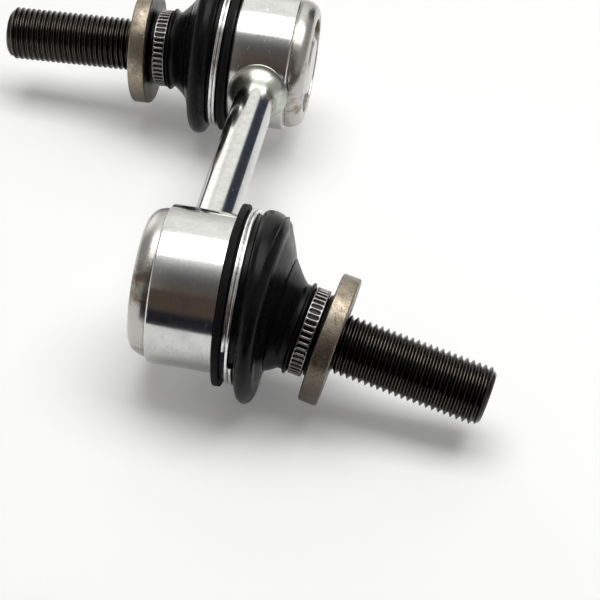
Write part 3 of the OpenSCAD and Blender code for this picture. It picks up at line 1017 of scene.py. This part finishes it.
def studOutline():
    s = stud
    atNeck = math.asin(s["neck"] / s["ball"])
    ballArc = []
    for i in range(s["ballSteps"] + 1):
        a = mix(math.pi - s["ballPole"], atNeck, i / s["ballSteps"])
        ballArc.append((s["ball"] * math.cos(a), s["ball"] * math.sin(a)))
    edgeAlong, edgeDown = s["shoulderEdge"]
    footBack, footUp = s["shoulderFoot"]
    edge = s["edge"]
    along, down = (edge * share for share in s["edgeShares"])
    start, end, rim = s["flangeStart"], s["flangeEnd"], s["flange"]
    reliefEdge, reliefFloor, reliefFoot = s["relief"]
    deep = end - s["reliefDepth"]
    return ballArc + [
        (s["neckEnd"], s["neck"]), (s["shankStart"], s["shank"]), (s["shoulderStart"], s["shank"]),
        (s["shoulderStart"] + edgeAlong, s["shoulder"] - edgeDown), (start - footBack, s["shoulder"]),
        (start, s["shoulder"] + footUp),
        (start, rim - edge), (start + along, rim - down), (start + edge, rim),
        (end - edge, rim), (end - along, rim - down), (end, rim - edge),
        (end, reliefEdge), (deep, reliefFloor), (deep, reliefFoot),
    ]


def studPiece():
    piece = turnedPiece("studModel", studOutline(), stud["sides"])
    closeUp()
    roundCorners(piece, stud["round"], segments=2, angle=24)
    # hammer scale leaves the flange's rim a little uneven
    highest = sum(size for count, shift, size in stud["waves"])
    for vertex in piece.data.vertices:
        spot = vertex.co / mm
        if math.hypot(spot.y, spot.z) > stud["flange"] - stud["unevenRim"]:
            wave = waveSum(math.atan2(spot.z, spot.y), stud["waves"]) / highest
            shrink = 1 - stud["uneven"] * (1 + wave) / stud["flange"]
            vertex.co = Vector((spot.x, spot.y * shrink, spot.z * shrink)) * mm
    return piece


studModel = studPiece()
keepPlace(studModel)
wear(studModel, brownedFlange)
for side in ends:
    piece = placedCopy(studModel, side + "BallStud", studPlace(side))
    ride(piece, side + "_stud", "stud", side + "_ball_stud")
dropModel(studModel)
print("studs forged")


# Thread: one rolled profile wound along the shank, cut down by the chamfer at the tip
thread = {
    "radius": 6.0, "depth": 0.72, "pitch": 1.25, "start": 29.4, "end": 61.25, "chamfer": 1.1, "steps": 64,
    "rootRise": 0.02, "crestDrop": 0.05, "shares": (0.0, 0.10, 0.42, 0.46, 0.56, 0.60, 0.92, 1.0),
    "windMerge": 0.002, "tipMerge": 0.01,
}


def threadPiece():
    t = thread
    clearSelection()
    low = t["radius"] - t["depth"]
    rising = [low, low + t["rootRise"], t["radius"] - t["crestDrop"], t["radius"]]
    profile = list(zip(t["shares"], rising + rising[::-1]))
    bpy.ops.mesh.primitive_circle_add(vertices=3, radius=mm)
    piece = bpy.context.object
    piece.name = "threadModel"
    bpy.ops.object.mode_set(mode="EDIT")
    bpy.ops.mesh.select_all(action="SELECT")
    bpy.ops.mesh.merge(type="CENTER")
    bpy.ops.transform.translate(value=(t["start"] * mm, 0, low * mm))
    for before, after in zip(profile, profile[1:]):
        step = ((after[0] - before[0]) * t["pitch"] * mm, 0, (after[1] - before[1]) * mm)
        bpy.ops.mesh.extrude_vertices_move(TRANSFORM_OT_translate={"value": step})
    bpy.ops.object.mode_set(mode="OBJECT")
    wind = piece.modifiers.new("wind", "SCREW")
    wind.axis = "X"
    wind.angle = 2 * math.pi
    wind.screw_offset = t["pitch"] * mm
    wind.iterations = math.ceil((t["end"] - t["start"]) / t["pitch"]) + 1
    wind.steps = t["steps"]
    wind.render_steps = t["steps"]
    wind.use_merge_vertices = True
    wind.merge_threshold = t["windMerge"] * mm
    bpy.ops.object.modifier_apply(modifier=wind.name)
    # past the tip everything lies on the end face, and the chamfer cuts the crests down
    tip = t["radius"] - t["chamfer"]
    for vertex in piece.data.vertices:
        spot = vertex.co / mm
        place = min(max(spot.x, t["start"]), t["end"])
        limit = min(t["radius"], tip + (t["end"] - place))
        shrink = min(1.0, limit / math.hypot(spot.y, spot.z))
        vertex.co = Vector((place, spot.y * shrink, spot.z * shrink)) * mm
    closeUp(t["tipMerge"])
    return piece


threadModel = threadPiece()
keepPlace(threadModel, angle=50)
wear(threadModel, blackThread)
for side in ends:
    piece = placedCopy(threadModel, side + "Thread", studPlace(side))
    ride(piece, side + "_stud", "stud")
dropModel(threadModel)
print("threads rolled")


# Seats: the solids stay, and wear the plastic
for side in ends:
    for node in ("_front_seat", "_rear_seat"):
        wear(frame["nodes"][side + node], seatPlastic)
print("seats finished")


# Studio, in metres: pale floor, one soft box above, a dark card in front that only the metal sees
studio = {
    "floor": {"tone": (0.93, 0.93, 0.93), "size": 6.0, "drop": 0.00002, "rough": 0.7, "shine": 0.1,
              "glowAt": (0.12, 0.9), "glow": (0.15, 0.55)},
    "box": {"at": (0.07, 0.030, 0.53), "size": (0.60, 0.34), "power": 2.05},
    "card": {"at": -0.108, "height": 0.058, "x": (-0.035, 0.30), "fade": (0.35, 0.5),
             "low": (0.017, 0.018, 0.026), "high": (0.095, 0.068, 0.057)},
}


# The camera and the metal see the floor's glow, which gets stronger away from the object
def floorPiece():
    look = studio["floor"]
    clearSelection()
    bpy.ops.mesh.primitive_plane_add(size=look["size"], location=(0, 0, -look["drop"]))
    floor = bpy.context.object
    floor.name = "floor"
    finish = Finish("paleFloor", 0.0, look["rough"], look["tone"])
    finish.give("Specular_IOR_Level", look["shine"])
    ray = finish.node("ShaderNodeLightPath").outputs
    seen = finish.math("MAXIMUM", ray["Is Camera Ray"], ray["Is Glossy Ray"])
    finish.give("Emission_Color", opaque(white))
    away = finish.node("ShaderNodeVectorMath", {"operation": "LENGTH"}, i0=finish.world()).outputs["Value"]
    glow = finish.ramp(away, *look["glowAt"], *look["glow"])
    finish.give("Emission_Strength", finish.times(seen, glow))
    wear(floor, finish.material)


def darkCard():
    look = studio["card"]
    left, right = look["x"]
    clearSelection()
    middle = ((left + right) / 2, look["at"], look["height"] / 2)
    bpy.ops.mesh.primitive_plane_add(size=1, location=middle, rotation=(quarterTurn, 0, 0))
    card = bpy.context.object
    card.name = "darkCard"
    card.scale = (right - left, look["height"], 1)
    applyPlace()
    finish = Finish("cardCloth", 0.0, 1.0, (0, 0, 0))
    height = finish.split(finish.world())["Z"]
    share = finish.ramp(height, *[part * look["height"] for part in look["fade"]])
    finish.give("Emission_Color", finish.blend(share, look["low"], look["high"]))
    finish.give("Emission_Strength", 1.0)
    finish.give("Specular_IOR_Level", 0.0)
    wear(card, finish.material)
    card.visible_camera = False
    card.visible_diffuse = False
    card.visible_shadow = False


def softBox():
    lamp = bpy.data.lights.new("softBox", "AREA")
    lamp.shape = "RECTANGLE"
    lamp.size, lamp.size_y = studio["box"]["size"]
    lamp.energy = studio["box"]["power"]
    holder = bpy.data.objects.new("softBox", lamp)
    holder.location = studio["box"]["at"]
    bpy.context.scene.collection.objects.link(holder)


# The room: a ring of tones from the front over the top to the back, with a window and a dark panel behind
room = {
    "ring": [(0.00, (0.066, 0.050, 0.044)), (0.15, (0.12, 0.094, 0.081)), (0.20, (0.126, 0.108, 0.094)),
             (0.25, (0.121, 0.120, 0.115)), (0.29, (0.156, 0.156, 0.154)), (0.33, (0.265, 0.265, 0.262)),
             (0.37, (0.445, 0.445, 0.44)), (0.41, (0.88, 0.88, 0.87)), (0.45, (1.25, 1.25, 1.24)),
             (0.81, (1.23, 1.23, 1.19)), (0.885, (0.93, 0.93, 0.90)), (1.00, (0.66, 0.66, 0.63))],
    "sides": (0.40, 0.393, 0.38), "sideways": (0.25, 0.60), "fill": 0.50,
    "panel": {"from": 0.33, "to": 0.72, "soft": 0.05, "low": -1.0, "top": 0.58,
              "tone": (0.045, 0.052, 0.075)},
    "window": {"from": -0.85, "to": -0.42, "soft": 0.10, "low": -0.10, "top": 0.48,
               "tone": (1.7, 1.7, 1.68)},
}


class RoomTree(Finish):
    def __init__(self, world):
        world.use_nodes = True
        self.tree = world.node_tree


def studioRoom():
    world = bpy.data.worlds.new("studioRoom")
    bpy.context.scene.world = world
    tree = RoomTree(world)
    part = tree.split(tree.node("ShaderNodeTexCoord").outputs["Generated"])
    front = tree.times(part["Y"], -1.0)
    angle = tree.math("DIVIDE", tree.math("ARCTAN2", part["Z"], front), math.pi)
    bands = tree.node("ShaderNodeValToRGB", Fac=angle)
    stops = bands.color_ramp.elements
    while len(stops) < len(room["ring"]):
        stops.new(0.5)
    for stop, (at, tone) in zip(stops, room["ring"]):
        stop.position = at
        stop.color = opaque(tone)
    sideways = tree.ramp(tree.math("ABSOLUTE", part["X"]), *room["sideways"])
    tones = tree.blend(sideways, bands.outputs["Color"], room["sides"])
    heading = tree.math("ARCTAN2", part["X"], part["Y"])
    for pane in (room["panel"], room["window"]):
        soft = pane["soft"]
        rising = tree.ramp(heading, pane["from"] - soft, pane["from"] + soft)
        falling = tree.ramp(heading, pane["to"] + soft, pane["to"] - soft)
        under = tree.ramp(part["Z"], pane["top"] + soft, pane["top"] - soft)
        over = tree.ramp(part["Z"], pane["low"] - soft, pane["low"] + soft)
        share = tree.times(tree.times(rising, falling), tree.times(under, over))
        tones = tree.blend(share, tones, pane["tone"])
    ray = tree.node("ShaderNodeLightPath").outputs
    tones = tree.blend(ray["Is Camera Ray"], tones, white)
    background = tree.tree.nodes["Background"]
    tree.feed(background, "Color", tones)
    tree.feed(background, "Strength", tree.ramp(ray["Is Diffuse Ray"], 0.0, 1.0, 1.0, room["fill"]))


floorPiece()
darkCard()
softBox()
studioRoom()
print("studio lit")


# Camera: placed from the near ball in millimetres, with the focal length and the frame in pixels
shot = {
    "focal": 1876.0, "frame": 600.0, "sensor": 36.0, "clip": (0.01, 20.0),
    "from": (46.009, -282.284, 227.926), "forward": (-0.068069, 0.778526, -0.623910),
    "right": (0.982938, 0.159441, 0.091714), "up": (-0.170879, 0.607022, 0.776096),
}


def takeShot():
    lens = bpy.data.cameras.new("shot")
    lens.sensor_width = shot["sensor"]
    lens.lens = shot["sensor"] * shot["focal"] / shot["frame"]
    lens.clip_start, lens.clip_end = shot["clip"]
    holder = bpy.data.objects.new("shot", lens)
    bpy.context.scene.collection.objects.link(holder)
    turn = Matrix((Vector(shot["right"]), Vector(shot["up"]), -Vector(shot["forward"]))).transposed()
    at = endPlace("near").translation + Vector(shot["from"]) * mm
    holder.matrix_world = Matrix.Translation(at) @ turn.to_4x4()
    bpy.context.scene.camera = holder


takeShot()
bpy.context.scene.view_settings.view_transform = "Standard"
